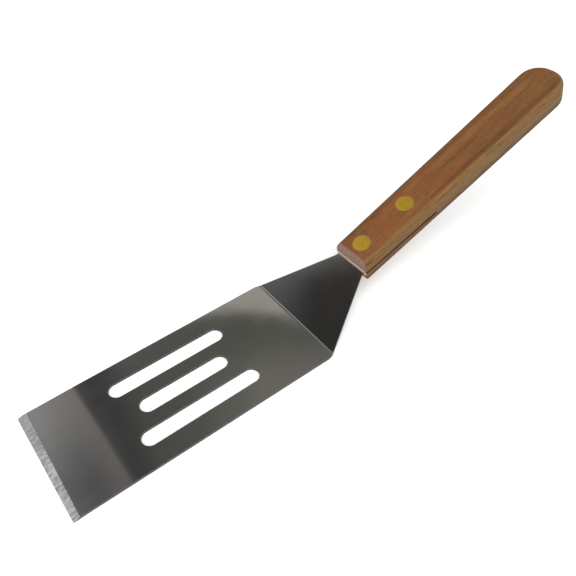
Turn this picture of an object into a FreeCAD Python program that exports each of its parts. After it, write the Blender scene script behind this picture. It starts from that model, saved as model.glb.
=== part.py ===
import FreeCAD
import Part
import math
import os

from FreeCAD import Vector

# Grill spatula: a slotted steel blade whose tang is riveted into a sawn wooden handle.
# Millimetres, +Z up. The blade lies on z = 0, +X runs from the cutting edge to the handle and
# the origin is under the middle of the whole spatula. While the pieces are being made, x is
# measured from the cutting edge instead.

# Blade sheet
SHEET = 1.0
EDGE_WIDTH = 50.8
HEEL_WIDTH = 52.1
HEEL_X = 112.0
BEND_X = 113.3
BEND_RADIUS = 2.6
HEEL_CORNER_RADIUS = 6.0

# Ground front: a steep cutting bevel, then a long shallow taper up to the full sheet
EDGE_THICKNESS = 0.12
BEVEL_LENGTH = 3.0
BEVEL_THICKNESS = 0.75
LIP_LENGTH = 24.0

# Slots, each with full-round ends
SLOT_WIDTH = 6.88
SLOT_PITCH = 13.31
OUTER_SLOT = (32.1, 84.0)
MIDDLE_SLOT = (38.5, 77.7)

# Neck and tang
NECK_ANGLE = 24.4
NECK_LENGTH = 34.5
TANG_ANGLE = 19.5
TANG_WIDTH = 15.8
TANG_LENGTH = 40.6
TANG_SHOWING = 0.5
TANG_ROOT_RADIUS = 8.0
TANG_CORNER_RADIUS = 3.0

# Handle, measured along its own axis from its nose
HANDLE_ANGLE = 21.2
HANDLE_LENGTH = 132.1
HANDLE_THICKNESS = 12.7
NOSE_WIDTH = 18.4
BUTT_WIDTH = 22.1
BUTT_CORNER_RADIUS = 9.9
LONG_EDGE_RADIUS = 3.0
NOSE_BEVEL_LENGTH = 2.5
NOSE_BEVEL_CROWN = 0.5
NOSE_LAND = 0.9
CHIN_BEVEL_LENGTH = 1.2
CHIN_BEVEL_HEIGHT = 2.5
KERF_LENGTH = 43.0

# Compression rivets
RIVET_PLACES = {"front": 8.1, "rear": 34.6}
RIVET_HEAD_DIAMETER = 7.6
RIVET_HEAD_THICKNESS = 1.6
BARREL_DIAMETER = 4.0
BARREL_BORE = 2.4
BARREL_BACK_OFF = 1.5
PIN_BACK_OFF = 1.0
TANG_HOLE_DIAMETER = 4.2

UP = Vector(0, 0, 1)
CROSSWISE = Vector(0, 1, 0)
HALF_HANDLE = HANDLE_THICKNESS / 2


def direction(degrees):
    """The unit vector that rises by this angle above +X."""
    angle = math.radians(degrees)
    return Vector(math.cos(angle), 0, math.sin(angle))


def prism(points, along):
    """The solid made by moving the closed polygon through these points."""
    return Part.Face(Part.makePolygon(points + points[:1])).extrude(along)


def edges_at(solid, axis, places):
    """The straight edges parallel to axis that pass through one of the places."""
    found = []
    for edge in solid.Edges:
        ends = edge.Vertexes
        if len(ends) != 2:
            continue
        line = ends[1].Point - ends[0].Point
        if line.cross(axis).Length > 1e-6 * line.Length:
            continue
        for place in places:
            if (ends[0].Point - place).cross(axis).Length < 1e-4:
                found.append(edge)
    return found


def mitre(point, below, above, height):
    """The point of an offset line, height above the middle line, where two runs meet."""
    half_turn = math.radians((above - below) / 2)
    normal = direction((above + below) / 2 + 90)
    return point + normal * (height / math.cos(half_turn))


# Stations of the sheet's middle line, seen from the side
HALF_SHEET = SHEET / 2
HEEL = Vector(BEND_X, 0, HALF_SHEET)
TANG_ROOT = HEEL + direction(NECK_ANGLE) * NECK_LENGTH
NOSE = TANG_ROOT + direction(TANG_ANGLE) * TANG_SHOWING
TANG_END = TANG_ROOT + direction(TANG_ANGLE) * TANG_LENGTH


def bent_sheet():
    """The sheet's side profile moved across the full width, with both bends rounded."""
    under_heel = mitre(HEEL, 0, NECK_ANGLE, -HALF_SHEET)
    over_heel = mitre(HEEL, 0, NECK_ANGLE, HALF_SHEET)
    tang_normal = direction(TANG_ANGLE + 90) * HALF_SHEET
    profile = [
        Vector(0, 0, 0),
        under_heel,
        mitre(TANG_ROOT, NECK_ANGLE, TANG_ANGLE, -HALF_SHEET),
        TANG_END - tang_normal,
        TANG_END + tang_normal,
        mitre(TANG_ROOT, NECK_ANGLE, TANG_ANGLE, HALF_SHEET),
        over_heel,
        Vector(LIP_LENGTH, 0, SHEET),
        Vector(BEVEL_LENGTH, 0, BEVEL_THICKNESS),
        Vector(0, 0, EDGE_THICKNESS),
    ]
    half_width = HEEL_WIDTH / 2
    sheet = prism([p - CROSSWISE * half_width for p in profile], CROSSWISE * HEEL_WIDTH)
    sheet = sheet.makeFillet(BEND_RADIUS, edges_at(sheet, CROSSWISE, [over_heel]))
    return sheet.makeFillet(BEND_RADIUS + SHEET, edges_at(sheet, CROSSWISE, [under_heel]))


def blank_outline():
    """The outline of blade, neck and tang in plan, as a tall block to cut the sheet with."""
    half = [
        (0, EDGE_WIDTH / 2),
        (HEEL_X, HEEL_WIDTH / 2),
        (TANG_ROOT.x, TANG_WIDTH / 2),
        (TANG_END.x + SHEET, TANG_WIDTH / 2),
    ]
    points = [Vector(x, -y, -SHEET) for x, y in half]
    points += [Vector(x, y, -SHEET) for x, y in reversed(half)]
    block = prism(points, UP * HANDLE_LENGTH)
    radii = [HEEL_CORNER_RADIUS, TANG_ROOT_RADIUS]
    for (x, y), radius in zip(half[1:3], radii):
        corners = [Vector(x, -y, 0), Vector(x, y, 0)]
        block = block.makeFillet(radius, edges_at(block, UP, corners))
    return block


def slot_cutter(ends, y):
    """A block with full-round ends, standing across the sheet."""
    radius = SLOT_WIDTH / 2
    first = ends[0] + radius
    last = ends[1] - radius
    cutter = Part.makeBox(last - first, SLOT_WIDTH, 3 * SHEET, Vector(first, y - radius, -SHEET))
    for x in (first, last):
        cutter = cutter.fuse(Part.makeCylinder(radius, 3 * SHEET, Vector(x, y, -SHEET)))
    return cutter


def blade():
    """Blade, neck and tang: one stamped, slotted, ground and bent sheet of steel."""
    piece = bent_sheet().common(blank_outline())
    for row in (-1, 0, 1):
        ends = OUTER_SLOT if row else MIDDLE_SLOT
        piece = piece.cut(slot_cutter(ends, row * SLOT_PITCH))
    corners = [TANG_END + CROSSWISE * (side * TANG_WIDTH / 2) for side in (-1, 1)]
    tang_normal = direction(TANG_ANGLE + 90)
    piece = piece.makeFillet(TANG_CORNER_RADIUS, edges_at(piece, tang_normal, corners))
    for place in RIVET_PLACES.values():
        hole = Part.makeCylinder(TANG_HOLE_DIAMETER / 2, 4 * SHEET, Vector(place, 0, -2 * SHEET))
        piece = piece.cut(on_handle(hole))
    return piece


def on_handle(shape):
    """A shape drawn along the handle's axis from its nose, put where the handle is."""
    placed = shape.copy()
    placed.rotate(Vector(0, 0, 0), CROSSWISE, -HANDLE_ANGLE)
    placed.translate(NOSE)
    return placed


def handle_block():
    """The handle's tapered outline with a rounded butt and soft long edges."""
    nose = NOSE_WIDTH / 2
    butt = BUTT_WIDTH / 2
    low = -HALF_HANDLE
    outline = [
        Vector(0, -nose, low),
        Vector(HANDLE_LENGTH, -butt, low),
        Vector(HANDLE_LENGTH, butt, low),
        Vector(0, nose, low),
    ]
    block = prism(outline, UP * HANDLE_THICKNESS)
    block = block.makeFillet(BUTT_CORNER_RADIUS, edges_at(block, UP, outline[1:3]))
    rims = []
    for edge in block.Edges:
        box = edge.BoundBox
        flat = box.ZLength < 1e-6
        across_nose = box.XMax < 1e-6
        if flat and not across_nose:
            rims.append(edge)
    return block.makeFillet(LONG_EDGE_RADIUS, rims)


def nose_shaving():
    """What is planed off above the handle's nose, down to a slightly crowned slope."""
    side = -NOSE_WIDTH
    foot = Vector(0, side, NOSE_LAND)
    ridge = Vector(NOSE_BEVEL_LENGTH, side, HALF_HANDLE)
    inwards = CROSSWISE.cross(ridge - foot).normalize()
    crown = (foot + ridge) / 2 - inwards * NOSE_BEVEL_CROWN
    slope = Part.Arc(foot, crown, ridge).toShape()
    clear = [ridge, ridge + UP, Vector(-1, side, HALF_HANDLE + 1), Vector(-1, side, NOSE_LAND), foot]
    outline = Part.Wire([slope] + Part.makePolygon(clear).Edges)
    return Part.Face(outline).extrude(CROSSWISE * (2 * NOSE_WIDTH))


def chin_shaving():
    """What is planed off below the nose, where the two lengths of the bevel meet the faces."""
    side = -NOSE_WIDTH
    heel = Vector(CHIN_BEVEL_LENGTH, side, -HALF_HANDLE)
    face = Vector(0, side, CHIN_BEVEL_HEIGHT - HALF_HANDLE)
    clear = [heel - UP, Vector(-1, side, -HALF_HANDLE - 1), Vector(-1, side, face.z)]
    return prism([face, heel] + clear, CROSSWISE * (2 * NOSE_WIDTH))


def kerf_cutter():
    """The saw cut that takes the tang, which dips towards the butt as the tang does."""
    start = Vector(-SHEET, -BUTT_WIDTH, -HALF_SHEET)
    cutter = Part.makeBox(KERF_LENGTH + SHEET, 2 * BUTT_WIDTH, SHEET, start)
    cutter.rotate(Vector(0, 0, 0), CROSSWISE, HANDLE_ANGLE - TANG_ANGLE)
    return cutter


def handle():
    """One length of wood, sawn along the middle for the tang and bored for two rivets."""
    piece = handle_block()
    for cutter in (nose_shaving(), chin_shaving(), kerf_cutter()):
        piece = piece.cut(cutter)
    for place in RIVET_PLACES.values():
        bottom = Vector(place, 0, -HALF_HANDLE)
        piece = piece.cut(Part.makeCylinder(BARREL_DIAMETER / 2, HANDLE_THICKNESS, bottom))
        head_radius = RIVET_HEAD_DIAMETER / 2
        piece = piece.cut(Part.makeCylinder(head_radius, RIVET_HEAD_THICKNESS, bottom))
        seat = Vector(place, 0, HALF_HANDLE - RIVET_HEAD_THICKNESS)
        piece = piece.cut(Part.makeCylinder(head_radius, RIVET_HEAD_THICKNESS, seat))
    return on_handle(piece)


def rivet_socket(place):
    """The upper half of a rivet: a flat head on a tube."""
    head_face = Vector(place, 0, HALF_HANDLE - RIVET_HEAD_THICKNESS)
    tube_length = HANDLE_THICKNESS - 2 * RIVET_HEAD_THICKNESS - BARREL_BACK_OFF
    tube_end = head_face - UP * tube_length
    head = Part.makeCylinder(RIVET_HEAD_DIAMETER / 2, RIVET_HEAD_THICKNESS, head_face)
    tube = Part.makeCylinder(BARREL_DIAMETER / 2, tube_length, tube_end)
    bore = Part.makeCylinder(BARREL_BORE / 2, tube_length, tube_end)
    return on_handle(head.fuse(tube).removeSplitter().cut(bore))


def rivet_pin(place):
    """The lower half of a rivet: a flat head on a solid pin that is pressed into the tube."""
    bottom = Vector(place, 0, -HALF_HANDLE)
    pin_length = HANDLE_THICKNESS - RIVET_HEAD_THICKNESS - PIN_BACK_OFF - RIVET_HEAD_THICKNESS
    head = Part.makeCylinder(RIVET_HEAD_DIAMETER / 2, RIVET_HEAD_THICKNESS, bottom)
    pin = Part.makeCylinder(BARREL_BORE / 2, pin_length, bottom + UP * RIVET_HEAD_THICKNESS)
    return on_handle(head.fuse(pin).removeSplitter())


def spatula():
    """Every piece by name, still measured from the cutting edge."""
    pieces = {"blade": blade(), "handle": handle()}
    for name, place in RIVET_PLACES.items():
        pieces[name + "_rivet_socket"] = rivet_socket(place)
        pieces[name + "_rivet_pin"] = rivet_pin(place)
    return pieces


def main():
    """Centre the spatula over the origin and write one file per piece."""
    os.makedirs("parts", exist_ok=True)
    pieces = spatula()
    whole = Part.makeCompound(list(pieces.values())).optimalBoundingBox(False, False)
    middle = Vector((whole.XMin + whole.XMax) / 2, 0, 0)
    for name, piece in pieces.items():
        piece.translate(-middle)
        piece.exportStep(os.path.join("parts", name + ".step"))
        box = piece.optimalBoundingBox(False, False)
        print(name, piece.isValid(), len(piece.Solids), round(piece.Volume, 1), box)


main()
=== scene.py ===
import math

import bpy
from mathutils import Matrix, Vector


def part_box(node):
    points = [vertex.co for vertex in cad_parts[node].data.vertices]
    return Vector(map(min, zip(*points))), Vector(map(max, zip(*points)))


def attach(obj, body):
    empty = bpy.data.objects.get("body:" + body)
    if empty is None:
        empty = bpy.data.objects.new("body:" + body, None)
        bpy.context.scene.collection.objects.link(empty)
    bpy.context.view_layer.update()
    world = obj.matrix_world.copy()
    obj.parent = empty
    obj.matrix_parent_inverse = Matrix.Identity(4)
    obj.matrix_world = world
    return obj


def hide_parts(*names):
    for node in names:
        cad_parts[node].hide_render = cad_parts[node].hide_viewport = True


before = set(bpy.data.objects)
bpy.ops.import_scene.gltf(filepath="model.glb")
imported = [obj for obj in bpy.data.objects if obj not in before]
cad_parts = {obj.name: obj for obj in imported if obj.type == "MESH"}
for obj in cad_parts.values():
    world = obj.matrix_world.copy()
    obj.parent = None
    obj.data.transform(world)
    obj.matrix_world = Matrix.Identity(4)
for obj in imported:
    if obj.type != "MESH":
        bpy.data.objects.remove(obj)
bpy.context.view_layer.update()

bl_info = {
    "name": "Grill Spatula",
    "version": (1, 0, 0),
    "blender": (4, 5, 0),
    "location": "View3D > Sidebar > Spatula",
    "description": "Models a slotted steel grill spatula with a riveted wooden handle",
    "category": "Object",
}

MM = 0.001
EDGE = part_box("blade")[0].x  # the cutting edge, from which the blade's lengths are measured
SETTINGS = "spatula_"


# ---------------------------------------------------------------- sizes and colours


def length(name, description, millimetres):
    """A size that a user may change, given in millimetres."""
    return bpy.props.FloatProperty(
        name=name, description=description, default=millimetres * MM, unit="LENGTH", precision=5
    )


def turn(name, description, degrees):
    """An angle that a user may change, given in degrees."""
    return bpy.props.FloatProperty(
        name=name, description=description, default=math.radians(degrees), unit="ROTATION"
    )


def colour(name, description, red, green, blue):
    """A colour that a user may change."""
    return bpy.props.FloatVectorProperty(
        name=name,
        description=description,
        default=(red, green, blue),
        subtype="COLOR",
        min=0.0,
        max=1.0,
    )


class BladeSizes(bpy.types.PropertyGroup):
    """The sheet that is blade, neck and tang in one."""

    sheet: length("Sheet", "Thickness of the steel", 1.0)
    edge_width: length("Edge Width", "Width at the cutting edge", 50.8)
    heel_width: length("Heel Width", "Width just before the bend", 52.1)
    heel_x: length("Heel", "Where the sides start to run in", 112.0)
    heel_radius: length("Heel Radius", "Rounding of the two rear corners", 6.0)
    bend_x: length("Bend", "Where the sheet turns up into the neck", 113.3)
    bend_radius: length("Bend Radius", "Inner radius of the bend", 2.6)
    edge_thickness: length("Edge Thickness", "Blunt front of the cutting edge", 0.12)
    bevel_length: length("Bevel Length", "Length of the ground cutting bevel", 3.0)
    bevel_lean: length("Bevel Lean", "How much longer the bevel is at the far side than in the middle", 0.5)
    bevel_thickness: length("Bevel Thickness", "Thickness behind the cutting bevel", 0.75)
    lip_length: length("Lip Length", "How far back the lip is ground thin", 24.0)
    lip_hollow: length("Lip Hollow", "Depth of the hollow grind in the lip", 0.05)
    rim: length("Rim", "Rounding of the punched edges", 0.16)
    slot_width: length("Slot Width", "Width of each slot", 6.88)
    slot_pitch: length("Slot Pitch", "Spacing of the slots", 13.31)
    outer_start: length("Outer Slots From", "Front end of the outer slots", 32.1)
    outer_end: length("Outer Slots To", "Rear end of the outer slots", 84.0)
    middle_start: length("Middle Slot From", "Front end of the middle slot", 38.5)
    middle_end: length("Middle Slot To", "Rear end of the middle slot", 77.7)
    neck_angle: turn("Neck Angle", "Rise of the neck above the blade", 24.4)
    neck_length: length("Neck Length", "Length of the sloping neck", 34.5)
    tang_angle: turn("Tang Angle", "Rise of the tang above the blade", 19.5)
    tang_width: length("Tang Width", "Width of the tang", 15.8)
    tang_length: length("Tang Length", "Length of the tang", 40.6)
    tang_showing: length("Tang Showing", "Bare tang ahead of the handle", 0.5)
    root_radius: length("Root Radius", "Rounding where neck and tang meet", 8.0)
    tang_hole: length("Tang Hole", "Diameter of the rivet holes", 4.2)


class HandleSizes(bpy.types.PropertyGroup):
    """The wooden handle, measured along its own axis from its nose."""

    angle: turn("Angle", "Rise of the handle above the blade", 21.2)
    length: length("Length", "Nose to butt", 132.1)
    thickness: length("Thickness", "Top face to bottom face", 12.7)
    nose_width: length("Nose Width", "Width at the nose", 18.4)
    butt_width: length("Butt Width", "Width at the butt", 22.1)
    butt_radius: length("Butt Radius", "Rounding of the butt's corners", 9.9)
    edge_radius: length("Edge Radius", "Rounding of the long edges", 3.0)
    bevel_length: length("Nose Bevel", "Length of the bevel above the nose", 2.5)
    bevel_crown: length("Bevel Crown", "How far the bevel bulges", 0.5)
    land: length("Nose Land", "Height of the flat above the saw cut's middle", 0.9)
    chin_length: length("Chin Length", "Length of the bevel below the nose", 1.2)
    chin_height: length("Chin Height", "Height of the bevel below the nose", 2.5)
    kerf_length: length("Kerf Length", "Depth of the saw cut for the tang", 43.0)
    softening: length("Softening", "Sanding of the crisp edges", 0.16)


class RivetSizes(bpy.types.PropertyGroup):
    """The two compression rivets."""

    front: length("Front Rivet", "Distance of the front rivet from the nose", 8.1)
    rear: length("Rear Rivet", "Distance of the rear rivet from the nose", 34.6)
    head_diameter: length("Head", "Diameter of the heads", 7.6)
    head_thickness: length("Head Thickness", "Thickness of the heads", 1.6)
    barrel: length("Barrel", "Diameter of the tube", 4.0)
    bore: length("Bore", "Diameter of the pin", 2.4)
    barrel_gap: length("Barrel Gap", "Tube's distance from the lower head", 1.5)
    pin_gap: length("Pin Gap", "Pin's distance from the upper head", 1.0)
    crown: length("Crown", "How far the filed heads fall off at the rim", 0.03)
    rim: length("Rim", "Rounding of the heads' rims", 0.06)


class Finishes(bpy.types.PropertyGroup):
    """Base colours of the materials."""

    steel: colour("Steel", "Polished sheet", 0.57, 0.565, 0.555)
    ground: colour("Ground Steel", "Coarse-ground cutting bevel", 0.86, 0.86, 0.87)
    sheared: colour("Sheared Steel", "Punched and sheared edges of the sheet", 0.075, 0.075, 0.072)
    wood: colour("Wood", "Heartwood on the flat faces", 0.158, 0.064, 0.021)
    # Light Wood also gives the painted highlight on the handle's near top edge
    wood_light_and_highlight: colour("Light Wood", "Paler fibres", 0.215, 0.108, 0.040)
    # Dark Wood also gives the painted shade on the handle's lower and far sides and in the saw cut
    wood_dark_and_shade: colour("Dark Wood", "Darker growth and pores", 0.055, 0.025, 0.009)
    # End Grain is the sanded end grain's own paler colour with a painted sheen in it
    end_grain_and_sheen: colour("End Grain", "Sanded end grain", 0.290, 0.185, 0.150)
    bare_wood: colour("Bare Wood", "Unoiled wood at the saw cut and round the rivets", 0.66, 0.52, 0.40)
    brass: colour("Brass", "Rivet heads", 0.76, 0.51, 0.062)
    tarnish: colour("Tarnish", "Darker patches on the brass", 0.54, 0.34, 0.042)


class StageSettings(bpy.types.PropertyGroup):
    """Floor, light and camera."""

    floor_radius: length("Floor Radius", "Radius of the pale floor", 4000.0)
    floor: colour("Floor", "Plain pale floor", 0.95, 0.95, 0.945)
    daylight: bpy.props.FloatProperty(
        name="Soft Light", description="Strength of the overhead light", default=2.6
    )
    spread: turn("Light Spread", "How broad the overhead light is", 70)
    shine: bpy.props.FloatVectorProperty(
        name="Light Direction", description="Which way the light shines", default=(0.30, 0.55, -1.0)
    )
    lens: bpy.props.FloatProperty(
        name="Lens", description="Focal length of the camera", default=37.76, unit="CAMERA"
    )
    eye: bpy.props.FloatVectorProperty(
        name="Eye", description="Place of the camera", default=(-0.1308, -0.13751, 0.19552)
    )
    aim: bpy.props.FloatVectorProperty(
        name="Aim",
        description="Turn of the camera about X, Y and Z",
        default=tuple(math.radians(angle) for angle in (44.9051, 0.4405, -38.0294)),
        subtype="EULER",
    )


def settings(name):
    """One of the groups of sizes or colours, by its short name."""
    return getattr(bpy.context.scene, SETTINGS + name)


def heading(angle):
    """The unit vector that rises by this angle above +X."""
    return Vector((math.cos(angle), 0, math.sin(angle)))


def root_place():
    """Where the neck meets the tang, in the middle of the sheet."""
    b = settings("blade")
    heel = Vector((EDGE + b.bend_x, 0, b.sheet / 2))
    return heel + heading(b.neck_angle) * b.neck_length


def nose_place():
    """Where the handle's axis starts."""
    b = settings("blade")
    return root_place() + heading(b.tang_angle) * b.tang_showing


# ---------------------------------------------------------------- modelling by hand


def leave_alone():
    """Nothing is selected and no object is being edited."""
    if bpy.context.mode != "OBJECT":
        bpy.ops.object.mode_set(mode="OBJECT")
    bpy.ops.object.select_all(action="DESELECT")


def take(piece):
    """Makes this object the only selected and the active one."""
    leave_alone()
    piece.select_set(True)
    bpy.context.view_layer.objects.active = piece


def fix_place(piece):
    """Moves the object's place, turn and scale into its mesh."""
    take(piece)
    bpy.ops.object.transform_apply(location=True, rotation=True, scale=True)


def new_box(name, low, high):
    """A box between two corners."""
    leave_alone()
    low, high = Vector(low), Vector(high)
    bpy.ops.mesh.primitive_cube_add(size=1, location=(low + high) / 2)
    box = bpy.context.object
    box.name = name
    box.scale = high - low
    fix_place(box)
    return box


def new_drum(name, radius, bottom, top, x=0, sides=64):
    """An upright cylinder."""
    leave_alone()
    middle = (x, 0, (bottom + top) / 2)
    bpy.ops.mesh.primitive_cylinder_add(
        vertices=sides, radius=radius, depth=top - bottom, location=middle
    )
    drum = bpy.context.object
    drum.name = name
    fix_place(drum)
    return drum


def edit(piece, kind, test):
    """Enters edit mode with the faces, edges or corners selected that pass the test.

    A face is tested by its middle and normal, an edge by its middle and direction, and a
    corner by its place.
    """
    take(piece)
    bpy.ops.object.mode_set(mode="EDIT")
    bpy.ops.mesh.select_mode(type=kind)
    bpy.ops.mesh.select_all(action="DESELECT")
    bpy.ops.object.mode_set(mode="OBJECT")
    mesh = piece.data
    if kind == "FACE":
        for face in mesh.polygons:
            face.select = test(face.center, face.normal)
    elif kind == "EDGE":
        for edge in mesh.edges:
            a, b = (mesh.vertices[i].co for i in edge.vertices)
            edge.select = test((a + b) / 2, (b - a).normalized())
    else:
        for corner in mesh.vertices:
            corner.select = test(corner.co)
    bpy.ops.object.mode_set(mode="EDIT")


def done():
    """Leaves edit mode."""
    bpy.ops.object.mode_set(mode="OBJECT")


def pull(step):
    """Extrudes what is selected by a step."""
    bpy.ops.mesh.extrude_region_move(TRANSFORM_OT_translate={"value": tuple(step)})


def carve(piece, cutter, operation="DIFFERENCE"):
    """Cuts a piece with another solid, which is used up."""
    take(piece)
    cut = piece.modifiers.new("cut", "BOOLEAN")
    cut.operation = operation
    cut.solver = "EXACT"
    cut.object = cutter
    bpy.ops.object.modifier_apply(modifier=cut.name)
    mesh = cutter.data
    bpy.data.objects.remove(cutter)
    bpy.data.meshes.remove(mesh)


def tidy_mesh(piece):
    """Joins doubled corners, removes slivers and turns the faces outwards."""
    take(piece)
    bpy.ops.object.mode_set(mode="EDIT")
    bpy.ops.mesh.select_all(action="SELECT")
    bpy.ops.mesh.remove_doubles(threshold=0.002 * MM)
    bpy.ops.mesh.dissolve_degenerate(threshold=0.001 * MM)
    bpy.ops.mesh.normals_make_consistent(inside=False)
    done()


def edit_all(piece):
    """Enters edit mode with everything selected."""
    edit(piece, "FACE", lambda middle, normal: True)


def merge_flat(piece):
    """Joins the flat faces and straight edges that the cuts have split."""
    edit_all(piece)
    bpy.ops.mesh.dissolve_limited(angle_limit=math.radians(0.02))
    done()


def plane_off(piece, point, outward):
    """Cuts away what lies beyond a plane and closes the face."""
    edit_all(piece)
    bpy.ops.mesh.bisect(plane_co=point, plane_no=outward, use_fill=True, clear_outer=True)
    done()


def soften(piece, width, steps, sharper_than, test):
    """Rounds the edges sharper than so many degrees whose middles pass the test."""
    take(piece)
    bpy.ops.object.mode_set(mode="EDIT")
    bpy.ops.mesh.select_mode(type="EDGE")
    bpy.ops.mesh.select_all(action="DESELECT")
    bpy.ops.mesh.edges_select_sharp(sharpness=math.radians(sharper_than))
    done()
    mesh = piece.data
    for face in mesh.polygons:
        face.select = False
    for edge in mesh.edges:
        a, b = (mesh.vertices[i].co for i in edge.vertices)
        edge.select = edge.select and test((a + b) / 2)
    bpy.ops.object.mode_set(mode="EDIT")
    bpy.ops.mesh.bevel(
        offset=width,
        offset_type="OFFSET",
        segments=steps,
        profile=0.5,
        clamp_overlap=False,
        loop_slide=False,
    )
    done()


def smooth(piece, crisp_above):
    """Smooth shading that keeps flat faces flat, and edges above so many degrees crisp."""
    take(piece)
    bpy.ops.object.shade_smooth_by_angle(angle=math.radians(crisp_above), keep_sharp_edges=True)
    weighted = piece.modifiers.new("weighted", "WEIGHTED_NORMAL")
    weighted.mode = "FACE_AREA"
    weighted.weight = 60
    weighted.keep_sharp = True
    bpy.ops.object.modifier_apply(modifier=weighted.name)


def check_closed(piece):
    """Raises an error if the shell has a hole or a stray face, or faces inwards."""
    uses = {}
    for face in piece.data.polygons:
        for key in face.edge_keys:
            uses[key] = uses.get(key, 0) + 1
    odd = sum(1 for count in uses.values() if count != 2)
    if odd or not uses:
        raise RuntimeError(f"{piece.name} has {odd} edges without exactly two faces")
    if sum(face.center.dot(face.normal) * face.area for face in piece.data.polygons) < 0:
        raise RuntimeError(f"{piece.name} is inside out")


def hand_in(piece, material, node):
    """Gives a finished piece its material and its place in the frame."""
    check_closed(piece)
    leave_alone()
    piece.data.materials.clear()
    piece.data.materials.append(material)
    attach(piece, "root")
    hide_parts(node)


# ---------------------------------------------------------------- shader groups


class Nodes:
    """Adds nodes to a tree one after another, each linked to those before it."""

    def __init__(self, tree):
        self.tree = tree
        self.column = 0

    def add(self, kind, inputs=(), **values):
        """A node of this kind; its inputs are values or the sockets that feed them."""
        node = self.tree.nodes.new(kind)
        self.column += 1
        node.location = (180 * self.column, -60 * (self.column % 5))
        for name, value in values.items():
            setattr(node, name, value)
        for name, value in dict(inputs).items():
            if isinstance(value, bpy.types.NodeSocket):
                self.tree.links.new(value, node.inputs[name])
            else:
                node.inputs[name].default_value = value
        return node

    def maths(self, operation, *values):
        """The result of a Math node."""
        node = self.add("ShaderNodeMath", enumerate(values), operation=operation)
        return node.outputs[0]

    def product(self, first, *others):
        """Masks or values multiplied together."""
        for other in others:
            first = self.maths("MULTIPLY", first, other)
        return first

    def vector_maths(self, operation, *values):
        """The result of a Vector Math node."""
        node = self.add("ShaderNodeVectorMath", enumerate(values), operation=operation)
        plain = operation in ("DOT_PRODUCT", "LENGTH")
        return node.outputs["Value" if plain else "Vector"]

    def band(self, value, low, high, start=0.0, end=1.0):
        """A value eased from start to end as it goes from low to high."""
        inputs = {"Value": value, "From Min": low, "From Max": high, "To Min": start, "To Max": end}
        node = self.add("ShaderNodeMapRange", inputs, interpolation_type="SMOOTHSTEP")
        return node.outputs["Result"]

    def scaled(self, vector, factor):
        """A vector times a value."""
        node = self.add("ShaderNodeVectorMath", {0: vector, "Scale": factor}, operation="SCALE")
        return node.outputs["Vector"]

    def mix(self, factor, a, b):
        """Two colours mixed."""
        node = self.add("ShaderNodeMix", data_type="RGBA")
        for socket, value in ((0, factor), (6, a), (7, b)):
            if isinstance(value, bpy.types.NodeSocket):
                self.tree.links.new(value, node.inputs[socket])
            elif socket:
                node.inputs[socket].default_value = (*value[:3], 1.0)
            else:
                node.inputs[socket].default_value = value
        return node.outputs[2]

    def lay(self, colour, mask, strength, over):
        """A second colour laid over the first, where the mask is and at some strength."""
        return self.mix(self.maths("MULTIPLY", mask, strength), colour, over)

    def ramp(self, value, stops):
        """A colour ramp through (place, colour) stops."""
        node = self.add("ShaderNodeValToRGB", {"Fac": value})
        line = node.color_ramp
        line.interpolation = "EASE"
        while len(line.elements) > 1:
            line.elements.remove(line.elements[-1])
        for number, (place, shade) in enumerate(stops):
            element = line.elements[0] if number == 0 else line.elements.new(place)
            element.position = place
            element.color = (*shade, 1.0)
        return node.outputs["Color"]

    def group(self, group, **inputs):
        """A node group placed with its own values; underscores stand for spaces."""
        node = self.add("ShaderNodeGroup", node_tree=group)
        for name, value in inputs.items():
            socket = node.inputs[name.replace("_", " ")]
            if isinstance(value, bpy.types.NodeSocket):
                self.tree.links.new(value, socket)
            else:
                socket.default_value = value
        return node.outputs[0]


def new_group(name, inputs, output):
    """An empty node group with named inputs, each with a default, and one named output."""
    group = bpy.data.node_groups.new(name, "ShaderNodeTree")
    for title, value in inputs.items():
        kind = "NodeSocketVector" if value is None else "NodeSocketFloat"
        socket = group.interface.new_socket(name=title, in_out="INPUT", socket_type=kind)
        if value is not None:
            socket.default_value = value
    group.interface.new_socket(name=output, in_out="OUTPUT", socket_type="NodeSocketFloat")
    nodes = Nodes(group)
    entry = nodes.add("NodeGroupInput")
    return group, nodes, entry.outputs


def close_group(nodes, output, value):
    """Links the group's result."""
    exit_node = nodes.add("NodeGroupOutput")
    nodes.tree.links.new(value, exit_node.inputs[output])


def stretched(nodes, given):
    """The group's place, measured in its length along X and in its width across it."""
    along = nodes.maths("DIVIDE", 1.0, given["Length"])
    across = nodes.maths("DIVIDE", 1.0, given["Width"])
    scale = nodes.add("ShaderNodeCombineXYZ", {"X": along, "Y": across, "Z": across}).outputs[0]
    return nodes.vector_maths("MULTIPLY", given["Vector"], scale)


def noise_between(nodes, given, place, roughness):
    """Noise at a place, stretched so that the group's low and high become 0 and 1."""
    inputs = {"Vector": place, "Scale": 1.0, "Detail": given["Detail"], "Roughness": roughness}
    noise = nodes.add("ShaderNodeTexNoise", inputs)
    return nodes.band(noise.outputs[0], given["Low"], given["High"])


def fibres_group():
    """Streaks along X: wood fibres, polishing lines or grinding marks."""
    inputs = {"Vector": None, "Length": 0.03, "Width": 0.0005, "Detail": 3.0, "Low": 0.35, "High": 0.65}
    group, nodes, given = new_group("Fibres", inputs, "Streaks")
    close_group(nodes, "Streaks", noise_between(nodes, given, stretched(nodes, given), 0.6))
    return group


def mottle_group():
    """Soft uneven patches, the same in every direction."""
    inputs = {"Vector": None, "Size": 0.01, "Detail": 2.0, "Low": 0.35, "High": 0.65}
    group, nodes, given = new_group("Mottle", inputs, "Patches")
    place = nodes.scaled(given["Vector"], nodes.maths("DIVIDE", 1.0, given["Size"]))
    close_group(nodes, "Patches", noise_between(nodes, given, place, 0.55))
    return group


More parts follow.
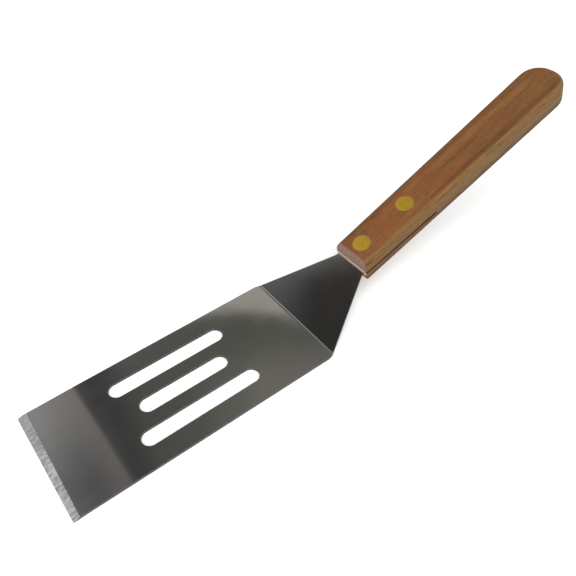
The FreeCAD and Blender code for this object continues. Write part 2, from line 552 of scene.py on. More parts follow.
def pores_group():
    """Short fine pores along X, which are dots on the end grain."""
    inputs = {"Vector": None, "Length": 0.003, "Width": 0.0003, "Share": 0.25}
    group, nodes, given = new_group("Pores", inputs, "Pores")
    place = stretched(nodes, given)
    cells = nodes.add("ShaderNodeTexVoronoi", {"Vector": place, "Scale": 1.0, "Randomness": 1.0})
    dot = nodes.band(cells.outputs["Distance"], 0.45, 0.12)
    pick = nodes.add("ShaderNodeSeparateColor", {"Color": cells.outputs["Color"]}).outputs[0]
    chosen = nodes.maths("LESS_THAN", pick, given["Share"])
    close_group(nodes, "Pores", nodes.product(dot, chosen))
    return group


def shared_group(name, maker):
    """The group of this name, built the first time that it is asked for."""
    return bpy.data.node_groups.get(name) or maker()


def streaks(nodes, place, long, wide, detail, low, high):
    """Streaks along X, so many millimetres long and wide."""
    group = shared_group("Fibres", fibres_group)
    size = {"Length": long * MM, "Width": wide * MM}
    return nodes.group(group, Vector=place, **size, Detail=detail, Low=low, High=high)


def patches(nodes, place, size, detail, low, high):
    """Soft patches of about so many millimetres."""
    group = shared_group("Mottle", mottle_group)
    return nodes.group(group, Vector=place, Size=size * MM, Detail=detail, Low=low, High=high)


def pores(nodes, place, long, wide, share):
    """Pores along X, so many millimetres long and wide."""
    group = shared_group("Pores", pores_group)
    return nodes.group(group, Vector=place, Length=long * MM, Width=wide * MM, Share=share)


# ---------------------------------------------------------------- materials


def new_material(name):
    """A material with its Principled shader, and the object's own coordinates."""
    material = bpy.data.materials.new(name)
    material.use_nodes = True
    tree = material.node_tree
    tree.nodes.clear()
    nodes = Nodes(tree)
    place = nodes.add("ShaderNodeTexCoord").outputs["Object"]
    shader = tree.nodes.new("ShaderNodeBsdfPrincipled")
    output = tree.nodes.new("ShaderNodeOutputMaterial")
    tree.links.new(shader.outputs[0], output.inputs["Surface"])
    return material, nodes, place, shader


def dimmed(colour, factor):
    """A colour made darker or paler."""
    return tuple(factor * part for part in colour)


def tinted(colour, factors):
    """A colour with a factor for each of red, green and blue."""
    return tuple(part * factor for part, factor in zip(colour, factors))


def facing(nodes, normal, way):
    """How squarely a face looks one way: 1 straight at it, -1 straight away."""
    return nodes.vector_maths("DOT_PRODUCT", normal, tuple(way))


def finish_material(nodes, shader, colour, roughness, height):
    """Links the colour, the roughness and the fine relief, in millimetres, to the shader."""
    links = nodes.tree.links
    links.new(colour, shader.inputs["Base Color"])
    links.new(roughness, shader.inputs["Roughness"])
    bump = nodes.add("ShaderNodeBump", {"Height": height, "Distance": MM, "Strength": 1.0})
    links.new(bump.outputs[0], shader.inputs["Normal"])


def polished_steel():
    """Polished sheet with faint polishing lines, and the coarse-ground cutting bevel."""
    f, b = settings("finishes"), settings("blade")
    material, nodes, place, shader = new_material("Polished Steel")
    shader.inputs["Metallic"].default_value = 1.0
    parts = nodes.add("ShaderNodeSeparateXYZ", {"Vector": place}).outputs
    from_edge = nodes.maths("SUBTRACT", parts["X"], EDGE)

    # The ground bevel is longer at one side, and its rear limit wanders a little
    lean = nodes.maths("MULTIPLY", parts["Y"], b.bevel_lean / (b.edge_width / 2))
    wander = streaks(nodes, place, long=20.0, wide=0.6, detail=2.0, low=0.2, high=0.8)
    limit = nodes.maths("MULTIPLY_ADD", wander, 0.12 * MM, lean)
    behind = nodes.maths("SUBTRACT", from_edge, nodes.maths("ADD", limit, b.bevel_length))
    ground = nodes.band(behind, -0.04 * MM, 0.04 * MM, 1.0, 0.0)

    marks = streaks(nodes, place, long=20.0, wide=0.42, detail=2.0, low=0.4, high=0.6)
    coarse = streaks(nodes, place, long=10.0, wide=1.4, detail=1.0, low=0.38, high=0.62)
    scratches = streaks(nodes, place, long=40.0, wide=0.12, detail=3.0, low=0.45, high=0.75)
    smears = patches(nodes, place, size=30.0, detail=2.0, low=0.3, high=0.7)
    haze = patches(nodes, place, size=10.0, detail=3.0, low=0.3, high=0.75)

    # The sheet's edges were punched and sheared, which left them dark and rough
    normal = nodes.add("ShaderNodeTexCoord").outputs["Normal"]
    level = nodes.add("ShaderNodeSeparateXYZ", {"Vector": normal}).outputs["Z"]
    wall = nodes.product(nodes.band(level, 0.72, 0.88, 1.0, 0.0), nodes.band(level, -0.97, -0.90))

    sheet = nodes.mix(smears, dimmed(f.steel, 0.96), f.steel)
    grit = nodes.maths("MULTIPLY_ADD", coarse, 0.35, nodes.maths("MULTIPLY", marks, 0.65))
    pale = nodes.mix(grit, dimmed(f.ground, 0.50), dimmed(f.ground, 1.08))
    # Painted shade: the ground bevel is darkened toward the far side
    far = nodes.band(parts["Y"], -5 * MM, 25 * MM, 0.0, 0.50)
    pale = nodes.mix(far, pale, dimmed(f.ground, 0.45))
    colour = nodes.mix(ground, sheet, pale)
    colour = nodes.mix(wall, colour, f.sheared)

    satin = nodes.band(haze, 0.0, 1.0, 0.060, 0.080)
    rough = nodes.maths("MULTIPLY_ADD", ground, 0.30, satin)
    rough = nodes.maths("MULTIPLY_ADD", wall, 0.40, rough)
    grooves = nodes.product(marks, ground, 0.030)
    height = nodes.maths("ADD", nodes.maths("MULTIPLY", scratches, 0.0004), grooves)
    finish_material(nodes, shader, colour, rough, height)
    return material


def along_handle(nodes, place):
    """Coordinates along the handle's own axis, from its nose."""
    mapping = nodes.add("ShaderNodeMapping", {"Vector": place}, vector_type="TEXTURE")
    mapping.inputs["Location"].default_value = nose_place()
    mapping.inputs["Rotation"].default_value = (0, -settings("handle").angle, 0)
    return mapping.outputs[0]


def along_grain(nodes, along):
    """The handle's coordinates, bent by slow waves as the grain is."""
    slow = nodes.vector_maths("MULTIPLY", along, (9.0, 60.0, 60.0))
    waves = nodes.add("ShaderNodeTexNoise", {"Vector": slow, "Scale": 1.0, "Detail": 2.0})
    return nodes.vector_maths("ADD", along, nodes.scaled(waves.outputs["Color"], 7.0 * MM))


def growth_rings(nodes, grain):
    """Rings about a line below and beside the handle."""
    heart = nodes.vector_maths("ADD", grain, (0.0, 0.021, 0.034))
    rings = nodes.add(
        "ShaderNodeTexWave",
        {"Vector": heart, "Scale": 75.0, "Distortion": 2.5, "Detail": 3.0, "Detail Scale": 1.2},
        wave_type="RINGS",
        rings_direction="X",
    )
    return rings.outputs[1]


def wood_grain(nodes, along, flank, sawn_end):
    """The colour of the grain, and the fine fibres and pores that also give the relief."""
    f = settings("finishes")
    grain = along_grain(nodes, along)
    rings = growth_rings(nodes, grain)
    fine = streaks(nodes, grain, long=18.0, wide=0.45, detail=4.0, low=0.25, high=0.75)
    lines = streaks(nodes, grain, long=11.0, wide=0.75, detail=3.0, low=0.48, high=0.68)
    broad = streaks(nodes, grain, long=50.0, wide=3.0, detail=2.0, low=0.30, high=0.70)
    pore = pores(nodes, grain, long=4.0, wide=0.45, share=0.35)
    patch = patches(nodes, along, size=16.0, detail=1.0, low=0.35, high=0.65)
    dots = patches(nodes, along, size=0.7, detail=2.0, low=0.40, high=0.62)

    rosy = tinted(f.wood, (1.25, 0.95, 1.0))
    olive = tinted(f.wood_light_and_highlight, (0.64, 0.79, 0.72))
    # The end grain is paler and greyer partly of itself and partly as a painted sheen
    grey = nodes.lay(f.end_grain_and_sheen, dots, 0.6, dimmed(f.end_grain_and_sheen, 0.55))
    colour = nodes.lay(f.wood, rings, 0.35, f.wood_light_and_highlight)
    colour = nodes.lay(colour, fine, 0.40, f.wood_light_and_highlight)
    colour = nodes.lay(colour, nodes.maths("SUBTRACT", 1.0, broad), 0.40, f.wood_dark_and_shade)
    colour = nodes.lay(colour, patch, 0.40, rosy)
    colour = nodes.lay(colour, flank, 0.65, olive)
    colour = nodes.lay(colour, lines, nodes.band(flank, 0.0, 1.0, 0.40, 0.60), f.wood_dark_and_shade)
    colour = nodes.lay(colour, sawn_end, 0.90, grey)
    colour = nodes.lay(colour, pore, 0.60, f.wood_dark_and_shade)
    return colour, fine, pore


def painted_edge_highlight_and_shade(nodes, colour, spot, across, upward, flank):
    """A painted highlight along the upper near edge, a darker streak on the top beside it, and painted
    shade on the lower half of the sides and on the far side.
    """
    f = settings("finishes")
    # Painted highlight: the near top edge is made paler where its rounding faces up
    ridge = nodes.product(
        nodes.band(across, -0.20, -0.50),
        nodes.band(across, -0.92, -0.75),
        nodes.band(upward, 0.0, 0.3, 0.0, 0.15),
    )
    colour = nodes.mix(ridge, colour, dimmed(f.wood_light_and_highlight, 1.25))
    streak = nodes.product(
        nodes.band(spot["Y"], -4.5 * MM, -7.5 * MM),
        nodes.band(flank, 1.0, 0.0),
        nodes.band(spot["X"], 30 * MM, 60 * MM, 0.0, 0.45),
    )
    colour = nodes.mix(streak, colour, f.wood_dark_and_shade)
    # Painted shade: the lower half of the sides and the far side are darkened toward Dark Wood
    lower = nodes.band(spot["Z"], -0.4 * MM, -3.0 * MM, 0.0, 0.60)
    far_side_shade = nodes.band(across, 0.25, 0.75, 0.0, 0.55)
    return nodes.mix(nodes.maths("MAXIMUM", lower, far_side_shade), colour, f.wood_dark_and_shade)


def painted_saw_cut_shade(nodes, colour, spot):
    """Painted shade in the open saw cut for the tang: a dark line along the sides."""
    h = settings("handle")
    fall = math.tan(h.angle - settings("blade").tang_angle)
    off_cut = nodes.maths("MULTIPLY_ADD", spot["X"], fall, spot["Z"])
    cut = nodes.product(
        nodes.band(nodes.maths("ABSOLUTE", off_cut), 0.45 * MM, 0.80 * MM, 0.75, 0.0),
        nodes.band(spot["X"], 0.6 * MM, 1.0 * MM),
        nodes.band(spot["X"], h.kerf_length, h.kerf_length + 0.4 * MM, 1.0, 0.0),
    )
    return nodes.mix(cut, colour, dimmed(settings("finishes").wood_dark_and_shade, 0.7))


def bare_wood(nodes, colour, along, spot, flank):
    """Pale wood shows in thin rings round the rivets and at the sawn mouth of the kerf."""
    f, r = settings("finishes"), settings("rivets")
    rim = r.head_diameter / 2
    halo = 0.0
    for rivet in (r.front, r.rear):
        apart = nodes.vector_maths("SUBTRACT", along, (rivet, 0.0, 0.0))
        flat = nodes.vector_maths("MULTIPLY", apart, (1.0, 1.0, 0.0))
        distance = nodes.vector_maths("LENGTH", flat)
        ring = nodes.band(distance, rim + 0.1 * MM, rim + 0.6 * MM, 0.55, 0.0)
        halo = nodes.maths("MAXIMUM", halo, ring)
    colour = nodes.mix(halo, colour, dimmed(f.wood_light_and_highlight, 1.5))
    mouth = nodes.product(
        nodes.band(spot["X"], 0.40 * MM, 0.60 * MM, 1.0, 0.0),
        nodes.band(nodes.maths("ABSOLUTE", spot["Z"]), 1.45 * MM, 1.75 * MM, 1.0, 0.0),
        nodes.band(flank, 0.0, 0.5, 0.9, 0.0),
    )
    return nodes.mix(mouth, colour, f.bare_wood)


def oiled_wood():
    """Fine-grained reddish hardwood, paler and greyer on its end grain, partly by a painted sheen."""
    material, nodes, place, shader = new_material("Oiled Wood")
    shader.inputs["Specular IOR Level"].default_value = 0.14
    along = along_handle(nodes, place)
    spot = nodes.add("ShaderNodeSeparateXYZ", {"Vector": along}).outputs
    normal = nodes.add("ShaderNodeTexCoord").outputs["Normal"]
    angle = settings("handle").angle
    sawn_end = nodes.band(facing(nodes, normal, heading(angle)), -0.62, -0.86)
    across = facing(nodes, normal, (0.0, 1.0, 0.0))
    upward = facing(nodes, normal, heading(angle + math.pi / 2))
    flank = nodes.band(nodes.maths("ABSOLUTE", across), 0.15, 0.60)

    colour, fine, pore = wood_grain(nodes, along, flank, sawn_end)
    colour = painted_edge_highlight_and_shade(nodes, colour, spot, across, upward, flank)
    colour = painted_saw_cut_shade(nodes, colour, spot)
    colour = bare_wood(nodes, colour, along, spot, flank)
    rough = nodes.maths("MULTIPLY_ADD", sawn_end, 0.20, nodes.band(fine, 0.0, 1.0, 0.50, 0.62))
    height = nodes.maths("MULTIPLY_ADD", pore, -0.035, nodes.maths("MULTIPLY", fine, 0.022))
    finish_material(nodes, shader, colour, rough, height)
    return material


def rivet_brass():
    """Brass heads filed flush with the wood, tarnished in patches."""
    f = settings("finishes")
    material, nodes, place, shader = new_material("Rivet Brass")
    shader.inputs["Metallic"].default_value = 1.0
    files = streaks(nodes, place, long=12.0, wide=0.16, detail=4.0, low=0.3, high=0.7)
    patch = patches(nodes, place, size=2.2, detail=3.0, low=0.35, high=0.65)
    colour = nodes.lay(f.brass, patch, 0.45, f.tarnish)
    colour = nodes.lay(colour, files, 0.20, dimmed(f.brass, 1.15))
    rough = nodes.band(patch, 0.0, 1.0, 0.48, 0.60)
    finish_material(nodes, shader, colour, rough, nodes.maths("MULTIPLY", files, 0.006))
    return material


# ---------------------------------------------------------------- blade


def bent_strip():
    """The sheet's side profile, pulled from the cutting edge back and spun round its bend."""
    b = settings("blade")
    half = b.heel_width / 2 + MM
    strip = new_box("blade", (EDGE - MM, -half, 0), (EDGE, half, b.bevel_thickness))

    # The lip with its shallow hollow, then the flat
    rise = b.sheet - b.bevel_thickness
    reach = b.lip_length - b.bevel_length
    stations = []
    lip_steps = 9
    for step in range(1, lip_steps + 1):
        share = step / lip_steps
        hollow = 4 * b.lip_hollow * share * (1 - share)
        stations.append((b.bevel_length + reach * share, b.bevel_thickness + rise * share - hollow))
    bend_run = (b.bend_radius + b.sheet / 2) * math.tan(b.neck_angle / 2)
    bend_start = b.bend_x - bend_run
    stations.append((bend_start, b.sheet))

    edit(strip, "FACE", lambda middle, normal: normal.x > 0.5)
    x, height = 0.0, b.bevel_thickness
    for next_x, next_height in stations:
        pull((next_x - x, 0, 0))
        taper = next_height / height
        bpy.ops.transform.resize(value=(1, 1, taper), center_override=(EDGE + next_x, 0, 0))
        x, height = next_x, next_height

    # The bend, the neck and the tang, which turns back a little
    pivot = (EDGE + bend_start, 0, b.sheet + b.bend_radius)
    bpy.ops.mesh.spin(steps=8, angle=b.neck_angle, center=pivot, axis=(0, 1, 0))
    pull(heading(b.neck_angle) * (b.neck_length - bend_run))
    pull(heading(b.tang_angle) * b.tang_length)
    done()

    # The block that it was started from comes off, and the cutting bevel is ground a little askew
    plane_off(strip, (EDGE, 0, 0), (-1, 0, 0))
    slope = (b.bevel_thickness - b.edge_thickness) / b.bevel_length
    askew = slope * b.bevel_lean / (b.edge_width / 2)
    plane_off(strip, (EDGE, 0, b.edge_thickness), (-slope, askew, 1))
    tidy_mesh(strip)
    return strip


def plan_block():
    """A tall block with the outline of blade, neck and tang, rounded at heel and tang root."""
    b = settings("blade")
    root = root_place()
    end = root + heading(b.tang_angle) * b.tang_length
    front = b.edge_width / 2
    bottom, top = -5 * MM, 60 * MM  # clear of the bent sheet on both sides
    block = new_box("plan", (EDGE - MM, -front, bottom), (EDGE, front, top))
    heel_x = EDGE + b.heel_x
    edit(block, "FACE", lambda middle, normal: normal.x > 0.5)
    x, half = EDGE, front
    corners = [
        (heel_x, b.heel_width / 2),
        (root.x, b.tang_width / 2),
        (end.x + b.sheet, b.tang_width / 2),
    ]
    for next_x, next_half in corners:
        pull((next_x - x, 0, 0))
        bpy.ops.transform.resize(value=(1, next_half / half, 1), center_override=(next_x, 0, 0))
        x, half = next_x, next_half
    done()

    # Rounds the upright edges at the heel, then those at the tang's root
    run_in = math.atan2((b.heel_width - b.tang_width) / 2, root.x - heel_x)
    for x, radius in ((heel_x, b.heel_radius), (root.x, b.root_radius)):
        edit(block, "EDGE", lambda middle, way: abs(way.z) > 0.9 and abs(middle.x - x) < 0.01 * MM)
        setback = radius * math.tan(run_in / 2)
        bpy.ops.mesh.bevel(offset=setback, segments=14, profile=0.5, clamp_overlap=False)
        done()
    tidy_mesh(block)
    return block


def slot_block(start, end, y):
    """An upright block with full-round ends, but for a hair of flat between the two rounds."""
    b = settings("blade")
    half = b.slot_width / 2
    low = (EDGE + start, y - half, -2 * b.sheet)
    high = (EDGE + end, y + half, 2 * b.sheet)
    block = new_box("slot", low, high)
    edit(block, "EDGE", lambda middle, way: abs(way.z) > 0.9)
    bpy.ops.mesh.bevel(offset=half * 0.9999, segments=20, profile=0.5)
    done()
    tidy_mesh(block)
    return block


def blade():
    """Blade, neck and tang: one stamped, slotted, ground and bent sheet of steel."""
    b, r = settings("blade"), settings("rivets")
    sheet = bent_strip()
    carve(sheet, plan_block(), "INTERSECT")
    for row in (-1, 0, 1):
        start, end = (b.outer_start, b.outer_end) if row else (b.middle_start, b.middle_end)
        carve(sheet, slot_block(start, end, row * b.slot_pitch))
    for place in (r.front, r.rear):
        hole = new_drum("hole", b.tang_hole / 2, -3 * b.sheet, 3 * b.sheet, x=place, sides=32)
        put_on_handle(hole)
        carve(sheet, hole)
    tidy_mesh(sheet)
    merge_flat(sheet)
    edit_all(sheet)
    bpy.ops.mesh.bisect(plane_co=(EDGE + 1.5 * b.bevel_length, 0, 0), plane_no=(1, 0, 0))
    done()

    def behind(middle):
        """How far back a point is from the rear line of the cutting bevel."""
        lean = b.bevel_lean * middle.y / (b.edge_width / 2)
        return middle.x - EDGE - b.bevel_length - lean

    soften(sheet, b.rim, steps=3, sharper_than=50, test=lambda middle: behind(middle) > 0.05 * MM)
    tidy_mesh(sheet)

    # The cutting bevel's outline stays crisp, and so does the neck's meeting with the tang
    edit(sheet, "FACE", lambda middle, normal: middle.x < EDGE + b.bevel_length and normal.z > 0.9)
    bpy.ops.mesh.region_to_loop()
    bpy.ops.mesh.mark_sharp()
    done()
    neck, root = heading(b.neck_angle), root_place()
    edit(
        sheet,
        "EDGE",
        lambda middle, way: abs((middle - root).dot(neck)) < 0.05 * MM and abs(way.dot(neck)) < 0.1,
    )
    bpy.ops.mesh.mark_sharp()
    done()
    smooth(sheet, crisp_above=40)
    return sheet


# ---------------------------------------------------------------- handle


def put_on_handle(piece):
    """Turns and moves a piece drawn along the handle's axis to where the handle is."""
    piece.rotation_euler = (0, -settings("handle").angle, 0)
    piece.location = nose_place()
    fix_place(piece)


def handle_block():
    """The tapered outline with a rounded butt and soft long edges."""
    h = settings("handle")
    half = h.thickness / 2
    nose = h.nose_width / 2
    block = new_box("handle", (0, -nose, -half), (h.length, nose, half))
    edit(block, "FACE", lambda middle, normal: normal.x > 0.5)
    widen = h.butt_width / h.nose_width
    bpy.ops.transform.resize(value=(1, widen, 1), center_override=(h.length, 0, 0))
    done()
    edit(block, "EDGE", lambda middle, way: abs(way.z) > 0.9 and middle.x > h.length / 2)
    bpy.ops.mesh.bevel(offset=h.butt_radius, segments=18, profile=0.5)
    done()
    edit(block, "EDGE", lambda middle, way: abs(way.z) < 0.1 and middle.x > 0.01 * MM)
    bpy.ops.mesh.bevel(offset=h.edge_radius, segments=8, profile=0.5)
    done()
    return block


def nose_cuts(piece):
    """Planes the crowned bevel above the nose and the small one below it."""
    h = settings("handle")
    half = h.thickness / 2
    foot = Vector((0, 0, h.land))
    ridge = Vector((h.bevel_length, 0, half))
    chord = ridge - foot
    outward = Vector((-chord.z, 0, chord.x)).normalized()
    half_angle = 2 * math.atan(2 * h.bevel_crown / chord.length)
    radius = chord.length / (2 * math.sin(half_angle))
    centre = (foot + ridge) / 2 - outward * (radius * math.cos(half_angle))
    cuts = 7
    for step in range(cuts):
        lean = half_angle * (2 * (step + 0.5) / cuts - 1)
        way = outward.copy()
        way.rotate(Matrix.Rotation(lean, 3, "Y"))
        depth = radius * math.cos(half_angle / cuts)
        plane_off(piece, centre + way * depth, way)
    chin = Vector((0, 0, h.chin_height - half))
    heel = Vector((h.chin_length, 0, -half))
    slope = heel - chin
    plane_off(piece, chin, Vector((slope.z, 0, -slope.x)).normalized())


def handle():
    """One length of wood, planed at the nose, sawn for the tang and bored for two rivets."""
    h, b, r = settings("handle"), settings("blade"), settings("rivets")
    block = handle_block()
    nose_cuts(block)
    tidy_mesh(block)
    gap = b.sheet / 2
    side = h.butt_width  # well past both sides
    kerf = new_box("kerf", (-b.sheet, -side, -gap), (h.kerf_length, side, gap))
    kerf.rotation_euler = (0, h.angle - b.tang_angle, 0)
    fix_place(kerf)
    carve(block, kerf)
    half = h.thickness / 2
    seat = half - r.head_thickness
    for place in (r.front, r.rear):
        carve(block, new_drum("bore", r.barrel / 2, -half - MM, half + MM, x=place))
        carve(block, new_drum("seat", r.head_diameter / 2, seat, half + MM, x=place))
        carve(block, new_drum("seat", r.head_diameter / 2, -half - MM, -seat, x=place))
    tidy_mesh(block)

    # Edges that are deep inside the bores and the kerf stay crisp
    upper = half - 0.5 * r.head_thickness
    outer = h.nose_width / 2 - 1.2 * MM

    def outside(middle):
        """Whether a point is near the handle's surface."""
        return abs(middle.z) > upper or abs(middle.y) > outer or middle.x < 0.5 * MM

    soften(block, h.softening, steps=2, sharper_than=38, test=outside)
    tidy_mesh(block)
    smooth(block, crisp_above=32)
    put_on_handle(block)
    return block


# ---------------------------------------------------------------- rivets


def on_rim(place):
    """Whether a point of a head is out at its rim."""
    return place.xy.length > settings("rivets").head_diameter / 2 * 0.99


def filed_head(name, up):
    """A flat head whose filed face falls off a little at its rim, for the upper or lower side."""
    h, r = settings("handle"), settings("rivets")
    top = h.thickness / 2
    radius = r.head_diameter / 2
    head = new_drum(name, radius, top - r.head_thickness, top, sides=72)
    edit(head, "FACE", lambda middle, normal: normal.z > 0.5)
    rings = 5
    for _ in range(rings):
        bpy.ops.mesh.inset(thickness=radius * 0.94 / rings, depth=0)
    done()
    edit(head, "VERT", lambda place: place.z > top - 0.01 * MM and on_rim(place))
    bpy.ops.transform.translate(value=(0, 0, -r.crown))
    done()
    if not up:
        take(head)
        head.rotation_euler = (math.pi, 0, 0)
        fix_place(head)
    return head


def shank(head, up, radius, reach, bore=0.0):
    """Draws a shank out of the head's inner face, and a bore back into it."""
    inward = -1 if up else 1
    edit(head, "FACE", lambda middle, normal: normal.z * inward > 0.5)
    size = settings("rivets").head_diameter / 2
    bpy.ops.mesh.inset(thickness=size - radius, depth=0)
    pull((0, 0, inward * reach))
    if bore:
        bpy.ops.mesh.inset(thickness=radius - bore, depth=0)
        pull((0, 0, -inward * reach))
    done()


def finish_rivet(piece):
    """Rounds the head's rim a little."""
    tidy_mesh(piece)
    soften(piece, settings("rivets").rim, steps=2, sharper_than=50, test=on_rim)
    smooth(piece, crisp_above=40)


def rivet_socket():
    """The upper half of a rivet: a head on a tube."""
    h, r = settings("handle"), settings("rivets")
    piece = filed_head("front_rivet_socket_shown", True)
    reach = h.thickness - 2 * r.head_thickness - r.barrel_gap
    shank(piece, True, r.barrel / 2, reach, r.bore / 2)
    finish_rivet(piece)
    return piece


def rivet_pin():
    """The lower half of a rivet: a head on a solid pin."""
    h, r = settings("handle"), settings("rivets")
    piece = filed_head("front_rivet_pin_shown", False)
    reach = h.thickness - 2 * r.head_thickness - r.pin_gap
    shank(piece, False, r.bore / 2, reach)
    finish_rivet(piece)
    return piece


def second_copy(piece, name):
    """A copy with a mesh of its own."""
    take(piece)
    bpy.ops.object.duplicate(linked=False)
    copy = bpy.context.object
    copy.name = name
    return copy


def place_along_handle(piece, distance):
    """Moves a rivet along the handle's axis and then to where the handle is."""
    piece.location = (distance, 0, 0)
    fix_place(piece)
    put_on_handle(piece)


# ---------------------------------------------------------------- stage


def pale_floor():
    """A round, plain, matt floor that the spatula lies on."""
    s = settings("stage")
    leave_alone()
    bpy.ops.mesh.primitive_circle_add(vertices=96, radius=s.floor_radius, fill_type="NGON")
    floor = bpy.context.object
    floor.name = "floor"
    material, nodes, place, shader = new_material("Floor")
    patch = patches(nodes, place, size=400.0, detail=2.0, low=0.3, high=0.7)
    shader.inputs["Specular IOR Level"].default_value = 0.0
    colour = nodes.mix(patch, s.floor, dimmed(s.floor, 0.99))
    nodes.tree.links.new(colour, shader.inputs["Base Color"])
    shader.inputs["Roughness"].default_value = 1.0
    floor.data.materials.append(material)


# What polished steel reflects, by bearing in degrees: dark flags high up and low down, which give
# it its depth, and the wall below them
FLAGS_HIGH_UP = (
    (-180, 0.50),
    (-130, 0.90),
    (-40, 0.75),
    (20, (0.30, 0.29, 0.26)),
    (47, (0.235, 0.225, 0.20)),
    (56, (0.235, 0.228, 0.20)),
    (61, (0.18, 0.182, 0.16)),
    (70, (0.125, 0.127, 0.115)),
    (76, (0.11, 0.11, 0.10)),
    (78, 0.075),
    (80.2, 0.065),
    (81.2, 0.10),
    (84.0, 0.105),
    (84.8, (0.25, 0.22, 0.215)),
    (86.4, (0.235, 0.225, 0.22)),
    (87.2, 0.135),
    (88.2, 0.115),
    (91, 0.15),
    (95, 0.80),
    (102, 0.80),
    (107, (0.090, 0.075, 0.060)),
    (109, (0.052, 0.045, 0.042)),
    (122, (0.043, 0.043, 0.042)),
    (134, 0.10),
    (160, 0.40),
    (180, 0.50),
)
FLAGS_LOW_DOWN = (
    (-180, 0.60),
    (-130, 0.95),
    (-40, 0.80),
    (20, (0.30, 0.29, 0.27)),
    (50, (0.13, 0.13, 0.115)),
    (62, (0.12, 0.123, 0.108)),
    (76, (0.138, 0.14, 0.133)),
    (79.4, 0.085),
    (80.6, 0.060),
    (82.2, 0.070),
    (83.2, 0.10),
    (84.8, 0.13),
    (86.2, (0.30, 0.27, 0.265)),
    (88, (0.32, 0.315, 0.31)),
    (91, 0.40),
    (95, 0.90),
    (102, 0.90),
    (107, (0.36, 0.365, 0.37)),
    (112, (0.18, 0.19, 0.20)),
    (116, (0.120, 0.130, 0.140)),
    (134, 0.16),
    (160, 0.50),
    (180, 0.60),
)
WALL = (
    (-180, 1.0),
    (20, 0.95),
    (44, (0.50, 0.475, 0.43)),
    (66, (0.49, 0.47, 0.425)),
    (85, 0.80),
    (180, 1.0),
)

# By bearing, the elevations in degrees where the low flags start and end giving way to the high
# ones, and where the wall ends
LIMITS = (
    (-180, (48.5, 54.0, 47.0)),
    (45, (48.5, 54.0, 48.3)),
    (62, (48.5, 54.0, 47.0)),
    (77, (48.5, 54.0, 47.0)),
    (83, (50.0, 59.0, 47.0)),
    (100, (50.0, 59.0, 47.0)),
    (109, (50.0, 58.0, 47.0)),
    (112, (50.0, 55.5, 47.0)),
)


def bearing_stops(rows):
    """A ramp's stops, from rows of a bearing and a grey or a colour."""
    stops = []
    for bearing, value in rows:
        colour = value if isinstance(value, tuple) else (value, value, value)
        stops.append((bearing / 360 + 0.5, colour))
    return stops


def studio_surround():
    """A white wall low down, and darker flags overhead that give polished steel its depth."""
    world = bpy.data.worlds.new("Studio")
    bpy.context.scene.world = world
    world.use_nodes = True
    tree = world.node_tree
    tree.nodes.clear()
    nodes = Nodes(tree)
    way = nodes.add("ShaderNodeTexCoord").outputs["Generated"]
    parts = nodes.add("ShaderNodeSeparateXYZ", {"Vector": way}).outputs
    bearing = nodes.maths("ARCTAN2", parts["Y"], parts["X"])
    bearing = nodes.maths("DIVIDE", bearing, 2 * math.pi)
    bearing = nodes.maths("ADD", bearing, 0.5)
    elevation = nodes.maths("DIVIDE", nodes.maths("ARCSINE", parts["Z"]), math.pi / 2)

    high_up = nodes.ramp(bearing, bearing_stops(FLAGS_HIGH_UP))
    low_down = nodes.ramp(bearing, bearing_stops(FLAGS_LOW_DOWN))
    wall = nodes.ramp(bearing, bearing_stops(WALL))
    shares = [(place, tuple(angle / 90 for angle in angles)) for place, angles in LIMITS]
    limits = nodes.ramp(bearing, bearing_stops(shares))
    limits = nodes.add("ShaderNodeSeparateColor", {"Color": limits}).outputs
    flags = nodes.mix(nodes.band(elevation, limits[0], limits[1]), low_down, high_up)
    over_wall = nodes.maths("SUBTRACT", elevation, limits[2])
    seen = nodes.mix(nodes.band(over_wall, -0.4 / 90, 0.3 / 90, 1.0, 0.0), flags, wall)

    # The camera itself looks past the spatula at plain white
    reflected = nodes.add("ShaderNodeBackground", {"Color": seen, "Strength": 1.0})
    plain = nodes.add("ShaderNodeBackground", {"Color": (1, 1, 1, 1), "Strength": 1.0})
    straight = nodes.add("ShaderNodeLightPath").outputs["Is Camera Ray"]
    both = nodes.add("ShaderNodeMixShader", {0: straight, 1: reflected.outputs[0], 2: plain.outputs[0]})
    output = nodes.add("ShaderNodeOutputWorld")
    tree.links.new(both.outputs[0], output.inputs["Surface"])


def soft_light():
    """One very broad overhead light from the cutting edge's side."""
    s = settings("stage")
    light = bpy.data.lights.new("soft_light", "SUN")
    light.energy = s.daylight
    light.angle = s.spread
    lamp = bpy.data.objects.new("soft_light", light)
    bpy.context.scene.collection.objects.link(lamp)
    lamp.rotation_euler = Vector(s.shine).to_track_quat("-Z", "Y").to_euler()
    lamp.visible_glossy = False  # polished steel shows only the surround


def camera():
    """Looks down over the cutting edge's near corner."""
    s = settings("stage")
    lens = bpy.data.cameras.new("camera")
    lens.lens = s.lens
    lens.sensor_width = 36.0
    lens.clip_start = 0.01
    eye = bpy.data.objects.new("camera", lens)
    bpy.context.scene.collection.objects.link(eye)
    eye.location = s.eye
    eye.rotation_euler = s.aim
    bpy.context.scene.camera = eye


# ---------------------------------------------------------------- operators


class AddBlade(bpy.types.Operator):
    """Adds the blade with its neck and tang."""

    bl_idname = "spatula.add_blade"
    bl_label = "Add Blade"

    def execute(self, context):
        piece = blade()
        piece.name = "blade_shown"
        hand_in(piece, polished_steel(), "blade")
        return {"FINISHED"}


class AddHandle(bpy.types.Operator):
    """Adds the wooden handle."""

    bl_idname = "spatula.add_handle"
    bl_label = "Add Handle"

    def execute(self, context):
        piece = handle()
        piece.name = "handle_shown"
        hand_in(piece, oiled_wood(), "handle")
        return {"FINISHED"}


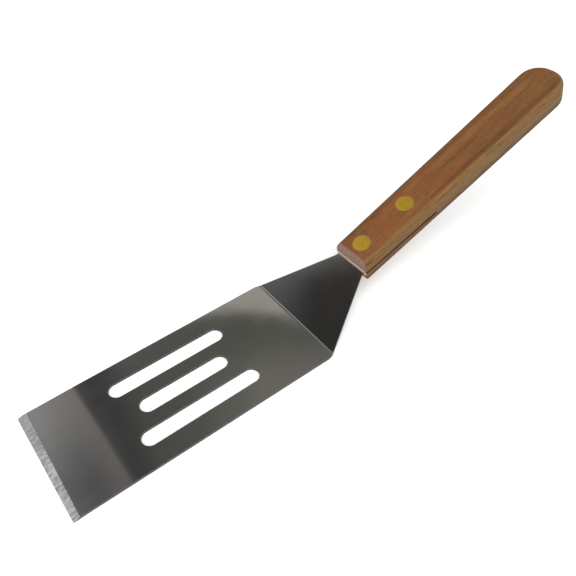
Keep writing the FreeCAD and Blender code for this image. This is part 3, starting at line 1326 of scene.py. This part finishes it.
class AddRivets(bpy.types.Operator):
    """Adds the two halves of both rivets."""

    bl_idname = "spatula.add_rivets"
    bl_label = "Add Rivets"

    def execute(self, context):
        r = settings("rivets")
        brass = rivet_brass()
        for kind, maker in (("socket", rivet_socket), ("pin", rivet_pin)):
            front = maker()
            rear = second_copy(front, f"rear_rivet_{kind}_shown")
            for piece, name, distance in ((front, "front", r.front), (rear, "rear", r.rear)):
                place_along_handle(piece, distance)
                hand_in(piece, brass, f"{name}_rivet_{kind}")
        return {"FINISHED"}


class AddStage(bpy.types.Operator):
    """Adds the floor, the light and the camera."""

    bl_idname = "spatula.add_stage"
    bl_label = "Add Stage"

    def execute(self, context):
        pale_floor()
        studio_surround()
        soft_light()
        camera()
        context.scene.view_settings.view_transform = "Standard"
        return {"FINISHED"}


STEPS = (AddBlade, AddHandle, AddRivets, AddStage)
GROUPS = {
    "blade": BladeSizes,
    "handle": HandleSizes,
    "rivets": RivetSizes,
    "finishes": Finishes,
    "stage": StageSettings,
}


class SpatulaPanel(bpy.types.Panel):
    """Lists the steps and the sizes."""

    bl_idname = "VIEW3D_PT_spatula"
    bl_label = "Grill Spatula"
    bl_space_type = "VIEW_3D"
    bl_region_type = "UI"
    bl_category = "Spatula"

    def draw(self, context):
        for step in STEPS:
            self.layout.operator(step.bl_idname)
        for name, group in GROUPS.items():
            column = self.layout.column()
            column.label(text=name.capitalize())
            values = getattr(context.scene, SETTINGS + name)
            for key in group.__annotations__:
                column.prop(values, key)


def register():
    for group in GROUPS.values():
        bpy.utils.register_class(group)
    for name, group in GROUPS.items():
        setattr(bpy.types.Scene, SETTINGS + name, bpy.props.PointerProperty(type=group))
    for step in (*STEPS, SpatulaPanel):
        bpy.utils.register_class(step)


def unregister():
    for step in reversed((*STEPS, SpatulaPanel)):
        bpy.utils.unregister_class(step)
    for name in GROUPS:
        delattr(bpy.types.Scene, SETTINGS + name)
    for group in reversed(list(GROUPS.values())):
        bpy.utils.unregister_class(group)


def main():
    """Builds the spatula on its frame."""
    register()
    bpy.ops.spatula.add_blade()
    bpy.ops.spatula.add_handle()
    bpy.ops.spatula.add_rivets()
    bpy.ops.spatula.add_stage()


if __name__ == "__main__":
    main()
